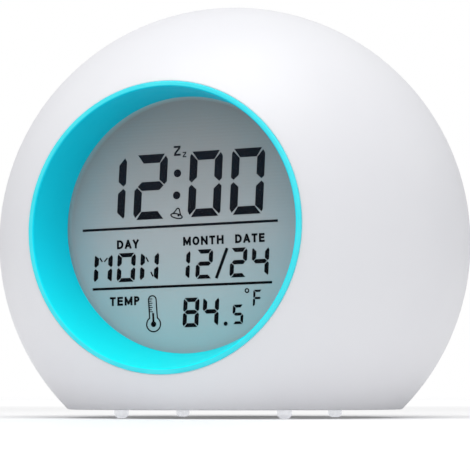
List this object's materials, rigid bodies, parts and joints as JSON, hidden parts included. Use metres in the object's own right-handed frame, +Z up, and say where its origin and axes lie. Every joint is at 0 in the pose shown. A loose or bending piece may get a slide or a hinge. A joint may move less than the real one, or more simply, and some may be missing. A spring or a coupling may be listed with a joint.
{
  "type": "digital alarm clock",
  "caption": "Ball-shaped digital alarm clock with a sunk round display in a teal bezel, a push-down snooze cap, rear keys, a hinged battery door and a speaker in the base.",
  "frame": {"origin": "middle of the overall box, on the plane that the feet stand on", "axes": "+Z up; the display faces -Y; +X to the right of someone facing the display"},
  "size_m": [0.1, 0.0796, 0.0871],
  "materials": {
    "shell_white": "satin translucent",
    "bezel_teal": "gloss",
    "lens_clear": "clear polished",
    "lcd_glass": "grey reflective liquid crystal panel",
    "guide_clear": "frosted",
    "inner_white": "moulded",
    "contact_rubber": "striped elastomer",
    "screw_steel": "zinc plated",
    "board_green": "solder mask",
    "chip_black": "moulded epoxy",
    "can_metal": "drawn can",
    "socket_ivory": "moulded",
    "led_white": "diffused",
    "switch_black": "moulded",
    "cover_white": "fine texture",
    "key_grey": "satin",
    "contact_nickel": "nickel plated",
    "cell_jacket": "printed jacket",
    "foot_clear": "clear soft",
    "speaker_black": "pressed and painted",
    "magnet_grey": "plated",
    "cone_paper": "pressed paper",
    "lead_sleeve": "insulated wire"
  },
  "bodies": {
    "clock": {"back_cover": "cover_white", "backlight_leds": "led_white", "ball_shell": "shell_white", "base_plate": "cover_white", "base_screws": "screw_steel", "battery_box": "inner_white", "battery_leads": "lead_sleeve", "bezel_ring": "bezel_teal", "board_screws": "screw_steel", "box_screws": "screw_steel", "capacitor": "can_metal", "carrier_screws": "screw_steel", "cell_bottom": "cell_jacket", "cell_middle": "cell_jacket", "cell_top": "cell_jacket", "contact_plates": "contact_nickel", "contact_strip": "contact_rubber", "controller_chip": "chip_black", "cover_screws": "screw_steel", "crystal": "can_metal", "display_holder": "inner_white", "display_lens": "lens_clear", "display_screws": "screw_steel", "foot_front_left": "foot_clear", "foot_front_right": "foot_clear", "foot_rear_left": "foot_clear", "foot_rear_right": "foot_clear", "glow_board": "board_green", "glow_leads": "lead_sleeve", "glow_leds": "led_white", "key_board": "board_green", "key_board_screws": "screw_steel", "key_leads": "lead_sleeve", "key_switches": "switch_black", "lcd_panel": "lcd_glass", "lead_sockets": "socket_ivory", "light_guide": "guide_clear", "main_board": "board_green", "snooze_board": "board_green", "snooze_carrier": "inner_white", "snooze_leads": "lead_sleeve", "snooze_switch": "switch_black", "speaker_cone": "cone_paper", "speaker_frame": "speaker_black", "speaker_leads": "lead_sleeve", "speaker_magnet": "magnet_grey", "temperature_sensor": "chip_black"},
    "snooze_button": {"snooze_button": "shell_white"},
    "battery_door": {"battery_door": "cover_white"},
    "mode_button": {"mode_button": "key_grey"},
    "set_button": {"set_button": "key_grey"},
    "up_button": {"up_button": "key_grey"},
    "down_button": {"down_button": "key_grey"},
    "alarm_button": {"alarm_button": "key_grey"}
  },
  "joints": [
    {"name": "snooze_press", "type": "slide", "parent": "clock", "child": "snooze_button", "axis": [0, 0, -1], "range_m": [0, 0.001], "stiffness_N_per_m": 2000, "springref_m": -0.0002},
    {"name": "battery_door_hinge", "type": "hinge", "parent": "clock", "child": "battery_door", "pos_m": [0, 0.03755, 0.01885], "axis": [-1, 0, 0], "range_deg": [0, 95]},
    {"name": "mode_press", "type": "slide", "parent": "clock", "child": "mode_button", "axis": [0, -1, 0], "range_m": [0, 0.0006], "stiffness_N_per_m": 2000, "springref_m": -0.0001},
    {"name": "set_press", "type": "slide", "parent": "clock", "child": "set_button", "axis": [0, -1, 0], "range_m": [0, 0.0006], "stiffness_N_per_m": 2000, "springref_m": -0.0001},
    {"name": "up_press", "type": "slide", "parent": "clock", "child": "up_button", "axis": [0, -1, 0], "range_m": [0, 0.0006], "stiffness_N_per_m": 2000, "springref_m": -0.0001},
    {"name": "down_press", "type": "slide", "parent": "clock", "child": "down_button", "axis": [0, -1, 0], "range_m": [0, 0.0006], "stiffness_N_per_m": 2000, "springref_m": -0.0001},
    {"name": "alarm_press", "type": "slide", "parent": "clock", "child": "alarm_button", "axis": [0, -1, 0], "range_m": [0, 0.0006], "stiffness_N_per_m": 2000, "springref_m": -0.0001}
  ]
}
